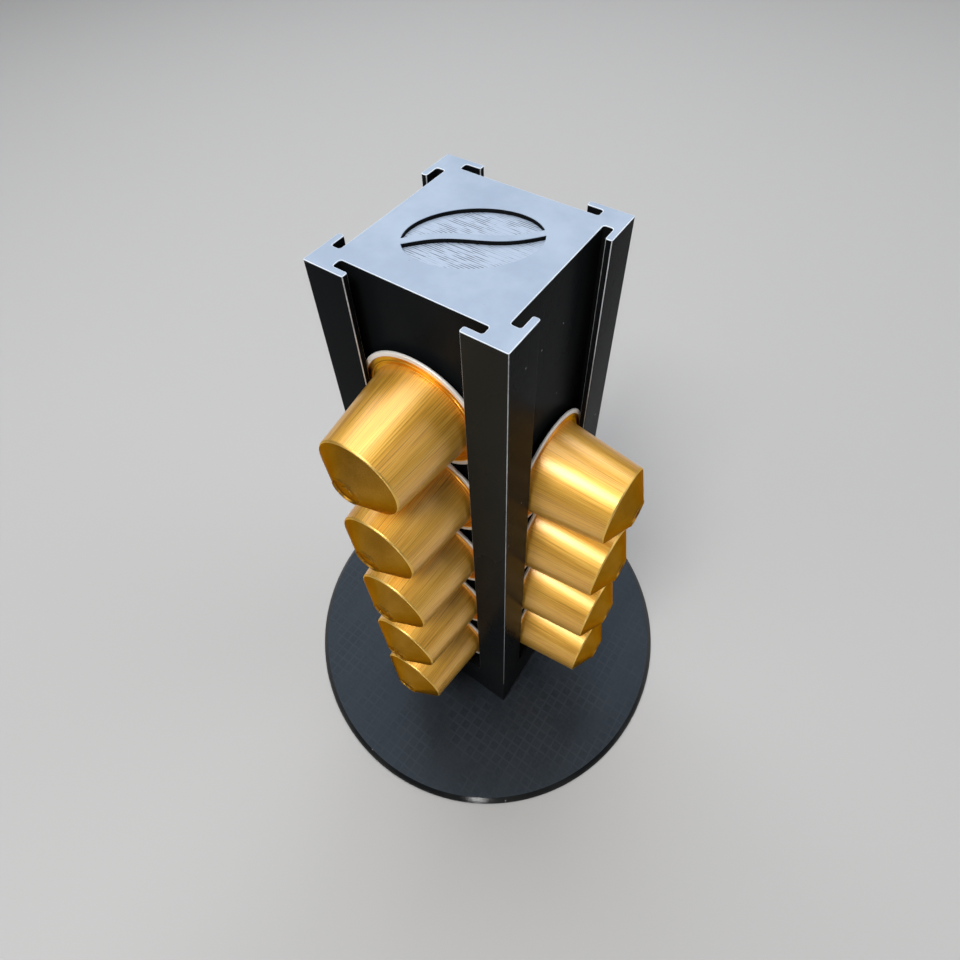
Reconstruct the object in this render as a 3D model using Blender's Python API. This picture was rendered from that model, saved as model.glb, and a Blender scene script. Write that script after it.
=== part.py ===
"""Coffee capsule dispenser: a square tower with four T-slot channels, on a round base disc.

Lengths are in metres and +Z is up. The origin lies under the middle of the base, on the surface that the
dispenser stands on. The left column of capsules hangs on the -Y side and the right column on the +X side.

Each capsule hangs by its rim behind the channel's lips. Its rim leans out at the top and in at the foot, so
the rims overlap like tiles, and each capsule's body rests on the rim of the one below.
"""
from math import atan2, cos, hypot, pi, radians, sin, sqrt

import bmesh
import bpy
from mathutils import Matrix, Vector

# Clearances
SEAT_GAP = 0.0003
STACK_GAP = 0.00015
SHINGLE_GAP = 0.00025
OVERRUN = 0.001

# Capsule: heights run from the back of the rim towards the nose
BODY_RADIUS = 0.01455
FLANGE_WIDTH = 0.00395
FLANGE_SHEET = 0.0003
CURL_WIDTH = 0.0008
CURL_EDGE = 0.0002
LID_THICKNESS = 0.0002
CUP_WALL = 0.0004
BODY_NARROWING = 0.00265
SHOULDER_HEIGHT = 0.0244
NOSE_LENGTH = 0.0044
NOSE_RADIUS = 0.0039
DIMPLE_SLOPE = 0.0009
DIMPLE_DEPTH = 0.0006
CAPSULE_SIDES = 24
LEFT_CAPSULES = 5
RIGHT_CAPSULES = 4

# Tower
CHANNEL_CAPSULES = 5
HEAD_ROOM = 0.0164
SILL_HEIGHT = 0.0201
POST_WIDTH = 0.0072
LIP_THICKNESS = 0.0018
LIP_ROUND = 0.0005
SLOT_ROUND = 0.0007
RIM_BACK_PLAY = 0.0006
RIM_SIDE_PLAY = 0.0013
BODY_SIDE_PLAY = 0.00075
TOWER_EDGE_ROUND = 0.0004

# Top plate and its recessed coffee bean
PLATE_THICKNESS = 0.0016
SPIGOT_INSET = 0.0048
SPIGOT_DEPTH = 0.002
MOTIF_DEPTH = 0.0012
BEAN_LENGTH = 0.033
BEAN_WIDTH = 0.023
BEAN_RIDGE = 0.0022
BEAN_SWAY = 0.0012
BEAN_TURN = radians(38)

# Base disc
BASE_RADIUS = 0.075
BASE_THICKNESS = 0.0021
EDGE_SLOPE_WIDTH = 0.0017
EDGE_FOOT_HEIGHT = 0.0004
BASE_SIDES = 96
BOSS_INSET = 0.0048
BOSS_HEIGHT = 0.003

# Screws from below, one into each corner post
SCREW_RADIUS = 0.0015
SCREW_LENGTH = 0.014
SCREW_TIP_ROOM = 0.001
HEAD_RADIUS = 0.0029
HEAD_DEPTH = 0.0017
HEAD_SINK = 0.0002
DRIVE_RADIUS = 0.0012
DRIVE_DEPTH = 0.001
SCREW_SIDES = 12

# Rubber pads in pockets under the base
PAD_RADIUS = 0.007
PAD_THICKNESS = 0.0012
PAD_PROUD = 0.0003
PAD_INSET = 0.015
PAD_SIDES = 24

# How a curve or a rounded corner is divided, shaded and closed
ARC_STEPS = 3
BEAN_STEPS = 14
EDGE_SEGMENTS = 2
SHARP_ANGLE = radians(30)
MERGE_DISTANCE = 0.00002

# Worked out: the capsule
RIM_RADIUS = BODY_RADIUS + FLANGE_WIDTH
RIM_THICKNESS = FLANGE_SHEET + SEAT_GAP + LID_THICKNESS
LID_RADIUS = RIM_RADIUS - CURL_WIDTH - SEAT_GAP
MOUTH_RADIUS = BODY_RADIUS - CUP_WALL
SHOULDER_RADIUS = BODY_RADIUS - BODY_NARROWING
NOSE_HEIGHT = SHOULDER_HEIGHT + NOSE_LENGTH
DIMPLE_RADIUS = NOSE_RADIUS - DIMPLE_SLOPE
DIMPLE_HEIGHT = NOSE_HEIGHT - DIMPLE_DEPTH

# Worked out: how one capsule rests on the next, as a step along the axis and a step across it
STACK_ALONG = RIM_THICKNESS + SHINGLE_GAP
BODY_TAPER = BODY_NARROWING / (SHOULDER_HEIGHT - RIM_THICKNESS)
REST_RADIUS = BODY_RADIUS - BODY_TAPER * SHINGLE_GAP
STACK_ACROSS = REST_RADIUS + RIM_RADIUS + STACK_GAP
STACK_PITCH = hypot(STACK_ALONG, STACK_ACROSS)
LEAN = atan2(STACK_ALONG, STACK_ACROSS)

# Worked out: the channels, as distances from the tower's middle; the rim's sides bear on the lips
OPENING_HALF_WIDTH = BODY_RADIUS + BODY_SIDE_PLAY
SLOT_HALF_WIDTH = RIM_RADIUS + RIM_SIDE_PLAY
FACE = SLOT_HALF_WIDTH + POST_WIDTH
TOWER_SIDE = 2 * FACE
SLOT_FRONT = FACE - LIP_THICKNESS
LIP_REACH = sqrt(RIM_RADIUS ** 2 - OPENING_HALF_WIDTH ** 2)
RIM_PLACE = SLOT_FRONT - SEAT_GAP - RIM_THICKNESS * cos(LEAN) - LIP_REACH * sin(LEAN)
SLOT_BACK = RIM_PLACE - RIM_RADIUS * sin(LEAN) - RIM_BACK_PLAY
POST_PLACE = FACE - POST_WIDTH / 2
SPIGOT_SIDE = 2 * (SLOT_BACK - SPIGOT_INSET)
BOSS_SIDE = 2 * (SLOT_BACK - BOSS_INSET)

# Worked out: heights above the surface that the base stands on
BASE_BOTTOM = PAD_PROUD
BASE_TOP = BASE_BOTTOM + BASE_THICKNESS
TOWER_BOTTOM = BASE_TOP + SEAT_GAP
SILL_TOP = TOWER_BOTTOM + SILL_HEIGHT
FIRST_RIM_HEIGHT = SILL_TOP + SEAT_GAP + RIM_RADIUS * cos(LEAN) + RIM_THICKNESS * sin(LEAN)
LAST_RIM_HEIGHT = FIRST_RIM_HEIGHT + (CHANNEL_CAPSULES - 1) * STACK_PITCH
TOWER_TOP = LAST_RIM_HEIGHT + RIM_RADIUS * cos(LEAN) + HEAD_ROOM
PLATE_BOTTOM = TOWER_TOP + SEAT_GAP
PLATE_TOP = PLATE_BOTTOM + PLATE_THICKNESS
PAD_PLACE = (BASE_RADIUS - PAD_INSET) * cos(pi / 4)


def clear_scene():
    """Removes whatever the scene holds before the model is made."""
    for obj in list(bpy.data.objects):
        bpy.data.objects.remove(obj)


def make_material(name, colour, roughness, metallic):
    """Makes a Principled material from a colour, a roughness and a metallic value."""
    material = bpy.data.materials.new(name)
    material.use_nodes = True
    shader = material.node_tree.nodes["Principled BSDF"]
    shader.inputs["Base Color"].default_value = (*colour, 1)
    shader.inputs["Roughness"].default_value = roughness
    shader.inputs["Metallic"].default_value = metallic
    return material


def add_object(name, mesh, material=None):
    """Puts a mesh in the scene as a named object."""
    obj = bpy.data.objects.new(name, mesh)
    bpy.context.scene.collection.objects.link(obj)
    if material:
        mesh.materials.append(material)
    return obj


def mesh_from(name, bm):
    """Turns an edit mesh into a mesh with its faces pointing out, and frees the edit mesh."""
    bmesh.ops.recalc_face_normals(bm, faces=bm.faces)
    mesh = bpy.data.meshes.new(name)
    bm.to_mesh(mesh)
    bm.free()
    return mesh


def add_turned(bm, profile, sides, place=(0, 0, 0)):
    """Adds a body turned about +Z through a place, from a closed (radius, height) outline."""
    centre = Vector(place)
    verts = [bm.verts.new(centre + Vector((radius, 0, height))) for radius, height in profile]
    edges = [bm.edges.new(pair) for pair in zip(verts, verts[1:] + verts[:1])]
    bmesh.ops.spin(bm, geom=verts + edges, cent=centre, axis=(0, 0, 1), angle=2 * pi, steps=sides,
                   use_merge=True)
    bmesh.ops.remove_doubles(bm, verts=bm.verts, dist=MERGE_DISTANCE)


def add_prism(bm, outline, low, high):
    """Adds a solid that stands between two heights over a closed (x, y) outline."""
    verts = [bm.verts.new((x, y, low)) for x, y in outline]
    floor = bm.faces.new(verts)
    lifted = bmesh.ops.extrude_face_region(bm, geom=[floor])
    moved = [item for item in lifted["geom"] if isinstance(item, bmesh.types.BMVert)]
    bmesh.ops.translate(bm, verts=moved, vec=(0, 0, high - low))


def square(side):
    """Gives the corners of a square about the middle."""
    half = side / 2
    return [(-half, -half), (half, -half), (half, half), (-half, half)]


def turned_object(name, profile, sides, material, place=(0, 0, 0)):
    """Makes a smooth-shaded turned object."""
    bm = bmesh.new()
    add_turned(bm, profile, sides, place)
    mesh = mesh_from(name, bm)
    mesh.shade_smooth()
    mesh.set_sharp_from_angle(angle=SHARP_ANGLE)
    return add_object(name, mesh, material)


def cut(obj, cutter, operation="DIFFERENCE"):
    """Cuts or joins an object with a helper that is hidden from the render."""
    cutter.hide_render = True
    cutter.display_type = "WIRE"
    modifier = obj.modifiers.new(cutter.name, "BOOLEAN")
    modifier.operation = operation
    modifier.solver = "EXACT"
    modifier.object = cutter


def arc(centre, radius, start, end):
    """Gives the points of an arc between two angles, both ends included."""
    turns = [start + (end - start) * step / ARC_STEPS for step in range(ARC_STEPS + 1)]
    return [(centre[0] + radius * cos(turn), centre[1] + radius * sin(turn)) for turn in turns]


def channel_outline():
    """Gives the T-shaped outline of the -Y channel, open past the tower's face."""
    lip_side = OPENING_HALF_WIDTH + LIP_ROUND
    right = [(lip_side, -FACE - OVERRUN)]
    right += arc((lip_side, LIP_ROUND - FACE), LIP_ROUND, 3 * pi / 2, pi)
    right += arc((lip_side, -SLOT_FRONT - LIP_ROUND), LIP_ROUND, pi, pi / 2)
    right += arc((SLOT_HALF_WIDTH - SLOT_ROUND, SLOT_ROUND - SLOT_FRONT), SLOT_ROUND, 3 * pi / 2, 2 * pi)
    right += arc((SLOT_HALF_WIDTH - SLOT_ROUND, -SLOT_BACK - SLOT_ROUND), SLOT_ROUND, 0, pi / 2)
    left = [(-x, y) for x, y in reversed(right)]
    return right + left


def add_channels(bm, low, high):
    """Adds the four channels, one to each side of the tower, between two heights."""
    for quarter in range(4):
        turn = Matrix.Rotation(quarter * pi / 2, 2)
        outline = [tuple(turn @ Vector(point)) for point in channel_outline()]
        add_prism(bm, outline, low, high)


def tower_block(name, low, high):
    """Makes a square block of the tower's outline, with its upright edges rounded."""
    bm = bmesh.new()
    add_prism(bm, square(TOWER_SIDE), low, high)
    upright = [edge for edge in bm.edges if abs(edge.verts[0].co.z - edge.verts[1].co.z) > 0]
    bmesh.ops.bevel(bm, geom=upright, offset=TOWER_EDGE_ROUND, segments=EDGE_SEGMENTS, profile=0.5,
                    affect="EDGES")
    return mesh_from(name, bm)


def corner_places(reach):
    """Gives the name and the place of each corner of a square that reaches this far to every side."""
    return [(f"{end}_{side}", x, y) for end, y in (("front", -reach), ("back", reach))
            for side, x in (("left", -reach), ("right", reach))]


def make_tower(material):
    """Makes the tower: a square column with four channels, a sill under each, and seats at both ends."""
    tower = add_object("tower_body", tower_block("tower_body", TOWER_BOTTOM, TOWER_TOP), material)
    bm = bmesh.new()
    add_channels(bm, SILL_TOP, TOWER_TOP + OVERRUN)
    add_prism(bm, square(SPIGOT_SIDE + 2 * SEAT_GAP), TOWER_TOP - SPIGOT_DEPTH, TOWER_TOP + OVERRUN)
    add_prism(bm, square(BOSS_SIDE + 2 * SEAT_GAP), TOWER_BOTTOM - OVERRUN, TOWER_BOTTOM + BOSS_HEIGHT)
    tip = BASE_BOTTOM + HEAD_SINK + SCREW_LENGTH + SCREW_TIP_ROOM
    bore = SCREW_RADIUS + SEAT_GAP
    profile = [(0, TOWER_BOTTOM - OVERRUN), (bore, TOWER_BOTTOM - OVERRUN), (bore, tip), (0, tip)]
    for _, x, y in corner_places(POST_PLACE):
        add_turned(bm, profile, SCREW_SIDES, (x, y, 0))
    cut(tower, add_object("tower_cutter", mesh_from("tower_cutter", bm)))


def bean_lobe(side):
    """Gives one half of a coffee bean: an ellipse's half, less the swaying ridge along its middle."""
    half_length = BEAN_LENGTH / 2
    half_width = BEAN_WIDTH / 2
    end_turn = atan2(BEAN_RIDGE, BEAN_WIDTH)
    rim = []
    for step in range(BEAN_STEPS + 1):
        turn = end_turn + (pi - 2 * end_turn) * step / BEAN_STEPS
        rim.append((half_length * cos(turn), side * half_width * sin(turn)))
    ridge = []
    for step in range(1, BEAN_STEPS):
        x = rim[-1][0] * (1 - 2 * step / BEAN_STEPS)
        sway = BEAN_SWAY * sin(2 * pi * step / BEAN_STEPS)
        ridge.append((x, sway + side * BEAN_RIDGE / 2))
    turn = Matrix.Rotation(BEAN_TURN, 2)
    return [tuple(turn @ Vector(point)) for point in rim + ridge]


def make_plate(material):
    """Makes the top plate: the tower's outline, a square spigot under it and a bean sunk in its face."""
    plate = add_object("top_plate", tower_block("top_plate", PLATE_BOTTOM, PLATE_TOP), material)
    bm = bmesh.new()
    spigot_bottom = TOWER_TOP - SPIGOT_DEPTH + SEAT_GAP
    add_prism(bm, square(SPIGOT_SIDE), spigot_bottom, PLATE_BOTTOM + PLATE_THICKNESS / 2)
    cut(plate, add_object("spigot", mesh_from("spigot", bm)), "UNION")
    bm = bmesh.new()
    add_channels(bm, PLATE_BOTTOM - OVERRUN, PLATE_TOP + OVERRUN)
    for side in (-1, 1):
        add_prism(bm, bean_lobe(side), PLATE_TOP - MOTIF_DEPTH, PLATE_TOP + OVERRUN)
    cut(plate, add_object("plate_cutter", mesh_from("plate_cutter", bm)))


def screw_radii_and_top(head_bottom, extra):
    """Gives the radii of a screw's head and shank, or its hole's with an extra, and the head's upper end."""
    head = HEAD_RADIUS + extra
    shank = SCREW_RADIUS + extra
    top = head_bottom + HEAD_DEPTH
    return head, shank, top


def make_base(material):
    """Makes the base disc: a thin plate with a sloped edge, a boss that centres the tower, and its holes."""
    profile = [(0, BASE_BOTTOM), (BASE_RADIUS, BASE_BOTTOM), (BASE_RADIUS, BASE_BOTTOM + EDGE_FOOT_HEIGHT),
               (BASE_RADIUS - EDGE_SLOPE_WIDTH, BASE_TOP), (0, BASE_TOP)]
    base = turned_object("base_disc", profile, BASE_SIDES, material)
    bm = bmesh.new()
    add_prism(bm, square(BOSS_SIDE), BASE_TOP - BASE_THICKNESS / 2, TOWER_BOTTOM + BOSS_HEIGHT - SEAT_GAP)
    cut(base, add_object("boss", mesh_from("boss", bm)), "UNION")
    bm = bmesh.new()
    pocket = PAD_RADIUS + SEAT_GAP
    pocket_top = PAD_THICKNESS + SEAT_GAP
    pocket_profile = [(0, -OVERRUN), (pocket, -OVERRUN), (pocket, pocket_top), (0, pocket_top)]
    for _, x, y in corner_places(PAD_PLACE):
        add_turned(bm, pocket_profile, PAD_SIDES, (x, y, 0))
    head, shank, head_top = screw_radii_and_top(BASE_BOTTOM + HEAD_SINK, SEAT_GAP)
    hole = [(0, BASE_BOTTOM - OVERRUN), (head, BASE_BOTTOM - OVERRUN), (head, BASE_BOTTOM + HEAD_SINK),
            (shank, head_top), (shank, BASE_TOP + OVERRUN), (0, BASE_TOP + OVERRUN)]
    for _, x, y in corner_places(POST_PLACE):
        add_turned(bm, hole, SCREW_SIDES, (x, y, 0))
    cut(base, add_object("base_cutter", mesh_from("base_cutter", bm)))


def make_screws(material):
    """Makes the four countersunk screws, each up through the base into a corner post."""
    bottom = BASE_BOTTOM + HEAD_SINK
    head, shank, head_top = screw_radii_and_top(bottom, 0)
    tip = bottom + SCREW_LENGTH
    drive = bottom + DRIVE_DEPTH
    profile = [(0, drive), (DRIVE_RADIUS, drive), (DRIVE_RADIUS, bottom), (head, bottom), (shank, head_top),
               (shank, tip - SCREW_RADIUS), (0, tip)]
    for corner, x, y in corner_places(POST_PLACE):
        turned_object(f"base_screw_{corner}", profile, SCREW_SIDES, material, (x, y, 0))


def make_pads(material):
    """Makes the four rubber pads, which stand a little proud of the base."""
    profile = [(0, 0), (PAD_RADIUS, 0), (PAD_RADIUS, PAD_THICKNESS), (0, PAD_THICKNESS)]
    for corner, x, y in corner_places(PAD_PLACE):
        turned_object(f"foot_pad_{corner}", profile, PAD_SIDES, material, (x, y, 0))


def cup_profile():
    """Gives the cup's section: out over the nose, shoulder and rim, and back along the inner wall."""
    flange_back = RIM_THICKNESS - FLANGE_SHEET
    return [(0, DIMPLE_HEIGHT),
            (DIMPLE_RADIUS, DIMPLE_HEIGHT),
            (NOSE_RADIUS, NOSE_HEIGHT),
            (SHOULDER_RADIUS, SHOULDER_HEIGHT),
            (BODY_RADIUS, RIM_THICKNESS),
            (RIM_RADIUS - CURL_EDGE, RIM_THICKNESS),
            (RIM_RADIUS, RIM_THICKNESS - CURL_EDGE),
            (RIM_RADIUS, CURL_EDGE),
            (RIM_RADIUS - CURL_EDGE, 0),
            (RIM_RADIUS - CURL_WIDTH, 0),
            (RIM_RADIUS - CURL_WIDTH, flange_back),
            (MOUTH_RADIUS, flange_back),
            (SHOULDER_RADIUS - CUP_WALL, SHOULDER_HEIGHT - CUP_WALL / 2),
            (DIMPLE_RADIUS, DIMPLE_HEIGHT - CUP_WALL),
            (0, DIMPLE_HEIGHT - CUP_WALL)]


def lid_profile():
    """Gives the foil lid's section, flush with the back of the rolled rim."""
    return [(0, 0), (LID_RADIUS, 0), (LID_RADIUS, LID_THICKNESS), (0, LID_THICKNESS)]


def coffee_profile():
    """Gives the ground coffee's section, a gap inside the cup and the lid, as far as the shoulder."""
    low = LID_THICKNESS + SEAT_GAP
    high = SHOULDER_HEIGHT - CUP_WALL - SEAT_GAP
    top_radius = SHOULDER_RADIUS - CUP_WALL - SEAT_GAP
    return [(0, low), (MOUTH_RADIUS - SEAT_GAP, low), (top_radius, high), (0, high)]


def make_column(side, count, quarter, materials):
    """Makes one channel's capsules, number 1 on the sill, each on an empty in the middle of its rim."""
    outward = Matrix.Rotation(quarter * pi / 2, 4, "Z")
    for number in range(1, count + 1):
        height = FIRST_RIM_HEIGHT + (number - 1) * STACK_PITCH
        name = f"{side}_capsule_{number}"
        middle = bpy.data.objects.new(name, None)
        bpy.context.scene.collection.objects.link(middle)
        middle.empty_display_size = RIM_RADIUS
        place = Matrix.Translation((0, -RIM_PLACE, height))
        dip = Matrix.Rotation(pi / 2 + LEAN, 4, "X")
        middle.matrix_world = outward @ place @ dip
        pieces = (("cup", cup_profile()), ("lid", lid_profile()), ("coffee", coffee_profile()))
        for kind, profile in pieces:
            piece = turned_object(f"{name}_{kind}", profile, CAPSULE_SIDES, materials[kind])
            piece.parent = middle


def main():
    """Builds the dispenser."""
    clear_scene()
    black_print = make_material("black_print", (0.012, 0.014, 0.018), 0.3, 0)
    base_print = make_material("base_print", (0.02, 0.024, 0.034), 0.4, 0)
    pale_print = make_material("pale_print", (0.52, 0.6, 0.7), 0.45, 0)
    steel = make_material("steel", (0.55, 0.55, 0.56), 0.3, 1)
    rubber = make_material("rubber", (0.02, 0.02, 0.02), 0.8, 0)
    capsule_materials = {"cup": make_material("gold_aluminium", (0.83, 0.58, 0.22), 0.3, 1),
                         "lid": make_material("lid_foil", (0.8, 0.8, 0.8), 0.25, 1),
                         "coffee": make_material("ground_coffee", (0.06, 0.03, 0.015), 0.9, 0)}
    make_tower(black_print)
    make_plate(pale_print)
    make_base(base_print)
    make_screws(steel)
    make_pads(rubber)
    make_column("left", LEFT_CAPSULES, 0, capsule_materials)
    make_column("right", RIGHT_CAPSULES, 1, capsule_materials)
    bpy.context.view_layer.update()


main()
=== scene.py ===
"""Looks of a coffee capsule dispenser: a printed tower on a round base, hung with gold capsules.

Lengths are in metres, or in millimetres where a class says so, and +Z is up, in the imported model's
own frame. The left column of capsules hangs on the -Y side and the right column on the +X side.
"""

import logging
from collections.abc import Sequence
from dataclasses import dataclass, field
from enum import Enum, IntEnum
from math import cos, pi, radians, sin

import bmesh
import bpy
import numpy as np
from mathutils import Matrix, Vector
from mathutils.geometry import tessellate_polygon


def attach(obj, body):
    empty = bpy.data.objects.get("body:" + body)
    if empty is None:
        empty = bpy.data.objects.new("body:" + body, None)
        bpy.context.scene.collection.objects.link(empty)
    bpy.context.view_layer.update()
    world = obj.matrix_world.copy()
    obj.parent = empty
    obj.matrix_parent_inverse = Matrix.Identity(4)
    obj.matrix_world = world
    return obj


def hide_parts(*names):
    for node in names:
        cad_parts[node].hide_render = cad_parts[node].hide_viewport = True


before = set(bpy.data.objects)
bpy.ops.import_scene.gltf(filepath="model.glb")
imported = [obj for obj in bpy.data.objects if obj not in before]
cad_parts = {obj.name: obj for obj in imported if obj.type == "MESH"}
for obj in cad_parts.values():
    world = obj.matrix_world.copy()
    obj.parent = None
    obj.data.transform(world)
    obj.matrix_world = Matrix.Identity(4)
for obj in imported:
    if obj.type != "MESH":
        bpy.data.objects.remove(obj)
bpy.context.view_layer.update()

Array = np.ndarray
Material = bpy.types.Material
Piece = bpy.types.Object
Socket = bpy.types.NodeSocket
Inlet = Socket | float | Sequence[float]
Pair = tuple[float, float]
Triple = tuple[float, float, float]
Colour = Triple
# A smooth step's low and high marks, then its values there where they aren't 0 and 1.
Step = tuple[float, ...]

MM = 0.001
WELD = 0.001 * MM
SHARP = radians(35)
SLANT = pi / 4
FALLING = (1.0, 0.0)
# Noise runs from 0 to 1, and nearly all of it lies between these two.
NOISE_REACH = (0.3, 0.7)
# A wave texture of scale 1 repeats in this length.
WAVE_TURN = 2 * pi / 20
ALONG = "along_wall"
SCREW_PLACE = 23.4 * MM
PAD_PLACE = 42.426 * MM

log = logging.getLogger("dispenser")


class Slot(Enum):
    """The record's material slots."""

    BLACK = "black_print"
    PALE = "pale_print"
    BASE = "base_print"
    STEEL = "steel"
    RUBBER = "rubber"
    GOLD = "gold_aluminium"
    FOIL = "lid_foil"
    COFFEE = "ground_coffee"


class Side(Enum):
    """A channel that holds capsules: its name, its quarter turns from the -Y side and its capsules."""

    LEFT = ("left", 0, 5)
    RIGHT = ("right", 1, 4)


class Zone(IntEnum):
    """The stretches of a cup's section, by their finish's place in its list."""

    WALL = 0
    NOSE = 1
    WEB = 2
    ROLL = 3
    INSIDE = 4
    SHOULDER = 5


@dataclass(frozen=True)
class Noise:
    """A soft noise: its turns to the metre, its octaves, their roughness, and its stretch and turn."""

    scale: float
    detail: float = 2.0
    rough: float = 0.5
    stretch: Triple = (1.0, 1.0, 1.0)
    turn: float = 0.0


class Graph:
    """A material's nodes, with short ways to add them and join them up."""

    def __init__(self, name: str) -> None:
        """Starts a material with a Principled shader.

        Args:
            name: The material's name.
        """
        self.material = bpy.data.materials.new(name)
        self.material.use_nodes = True
        self.tree = self.material.node_tree
        self.shader = self.tree.nodes["Principled BSDF"]
        self.place = self.node("ShaderNodeTexCoord").outputs["Object"]

    def node(self, kind: str, inlets: dict[str | int, Inlet] | None = None, **settings: object,
             ) -> bpy.types.Node:
        """Adds a node.

        Args:
            kind: The node's type.
            inlets: What each of its inputs takes: a value, or another node's output.
            settings: The node's own properties.

        Returns:
            The node.
        """
        made = self.tree.nodes.new(kind)
        for key, value in settings.items():
            setattr(made, key, value)
        for key, value in (inlets or {}).items():
            self.feed(made.inputs[key], value)
        return made

    def feed(self, socket: Socket, value: Inlet) -> None:
        """Joins an input to another node's output, or gives it its value, a colour with full alpha."""
        if isinstance(value, Socket):
            self.tree.links.new(value, socket)
        else:
            socket.default_value = (*value, 1.0) if socket.type == "RGBA" else value

    def shade(self, **inlets: Inlet) -> Material:
        """Sets the shader's inputs, named with _ for a space, and gives the finished material."""
        for key, value in inlets.items():
            self.feed(self.shader.inputs[key.replace("_", " ")], value)
        return self.material

    def along(self) -> Socket:
        """The piece's own coordinates: round its axis, and along its wall."""
        return self.node("ShaderNodeAttribute", attribute_name=ALONG).outputs["Vector"]

    def apart(self, vector: Inlet) -> list[Socket]:
        """A vector's X, Y and Z."""
        return list(self.node("ShaderNodeSeparateXYZ", {"Vector": vector}).outputs)

    def mapped(self, vector: Inlet, stretch: Triple, turn: float) -> Socket:
        """A vector stretched, and turned about +Z."""
        inlets = {"Vector": vector, "Scale": stretch, "Rotation": (0.0, 0.0, turn)}
        return self.node("ShaderNodeMapping", inlets).outputs["Vector"]

    def noise(self, pattern: Noise, vector: Inlet | None = None) -> Socket:
        """Soft noise from 0 to 1, on a vector or else on the object's own coordinates."""
        start = self.place if vector is None else vector
        inlets = {
            "Vector": self.mapped(start, pattern.stretch, pattern.turn),
            "Scale": pattern.scale,
            "Detail": pattern.detail,
            "Roughness": pattern.rough,
        }
        return self.node("ShaderNodeTexNoise", inlets).outputs[0]

    def cells(self, scale: float) -> tuple[Socket, Socket]:
        """Loose cells, so many to the metre: how far off a cell's middle is, and the cell's own chance."""
        made = self.node("ShaderNodeTexVoronoi", {"Vector": self.place, "Scale": scale})
        return made.outputs["Distance"], made.outputs["Color"]

    def bands(self, vector: Inlet, pitch: float, axis: str, wander: float) -> Socket:
        """Even bands across one axis, from 0 to 1, a pitch apart."""
        inlets = {"Vector": vector, "Scale": WAVE_TURN / pitch, "Distortion": wander, "Detail Scale": 2.0}
        return self.node("ShaderNodeTexWave", inlets, bands_direction=axis).outputs["Fac"]

    def slanting(self, pitch: float, wander: float) -> Socket:
        """Bands that slant across the tower's sides, as seen from above."""
        return self.bands(self.mapped(self.place, (1.0, 1.0, 1.0), SLANT), pitch, "X", wander)

    def span(self, value: Inlet, low: float, high: float, at_low: float = 0.0, at_high: float = 1.0,
             ) -> Socket:
        """A smooth step that runs from one value at the low mark to another at the high mark."""
        inlets = {"Value": value, "From Min": low, "From Max": high, "To Min": at_low, "To Max": at_high}
        return self.node("ShaderNodeMapRange", inlets, interpolation_type="SMOOTHSTEP").outputs["Result"]

    def over(self, noise: Inlet, ends: Pair = (0.0, 1.0)) -> Socket:
        """Noise laid over the stretch between two values."""
        return self.span(noise, *NOISE_REACH, *ends)

    def maths(self, operation: str, *values: Inlet) -> Socket:
        """One sum on one or two values."""
        return self.node("ShaderNodeMath", dict(enumerate(values)), operation=operation).outputs[0]

    def times(self, first: Inlet, second: Inlet) -> Socket:
        """Two values multiplied."""
        return self.maths("MULTIPLY", first, second)

    def ramp(self, value: Inlet, marks: Sequence[float], colours: Sequence[Colour]) -> Socket:
        """Colours laid along a value from 0 to 1.

        Args:
            value: The value.
            marks: Where along it each colour stands, in order.
            colours: The colours.

        Returns:
            The colour output.
        """
        made = self.node("ShaderNodeValToRGB", {"Fac": value})
        ramp = made.color_ramp
        while len(ramp.elements) < len(marks):
            ramp.elements.new(1.0)
        for element, mark, colour in zip(ramp.elements, marks, colours):
            element.position = mark
            element.color = (*colour, 1.0)
        return made.outputs["Color"]

    def mix(self, factor: Inlet, first: Inlet, second: Inlet) -> Socket:
        """Two colours mixed by a factor. The node takes colours at 6 and 7 and gives one at 2."""
        return self.node("ShaderNodeMix", {0: factor, 6: first, 7: second}, data_type="RGBA").outputs[2]

    def bump(self, height: Inlet, depth: float, below: Socket | None = None) -> Socket:
        """A normal bent by a height, over another normal if one is given.

        Args:
            height: The height from 0 to 1.
            depth: How deep a height of 1 is, in metres.
            below: A normal that is bent already.

        Returns:
            The normal output.
        """
        inlets = {"Height": height, "Distance": depth, "Strength": 1.0}
        if below is not None:
            inlets["Normal"] = below
        return self.node("ShaderNodeBump", inlets).outputs["Normal"]


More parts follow.
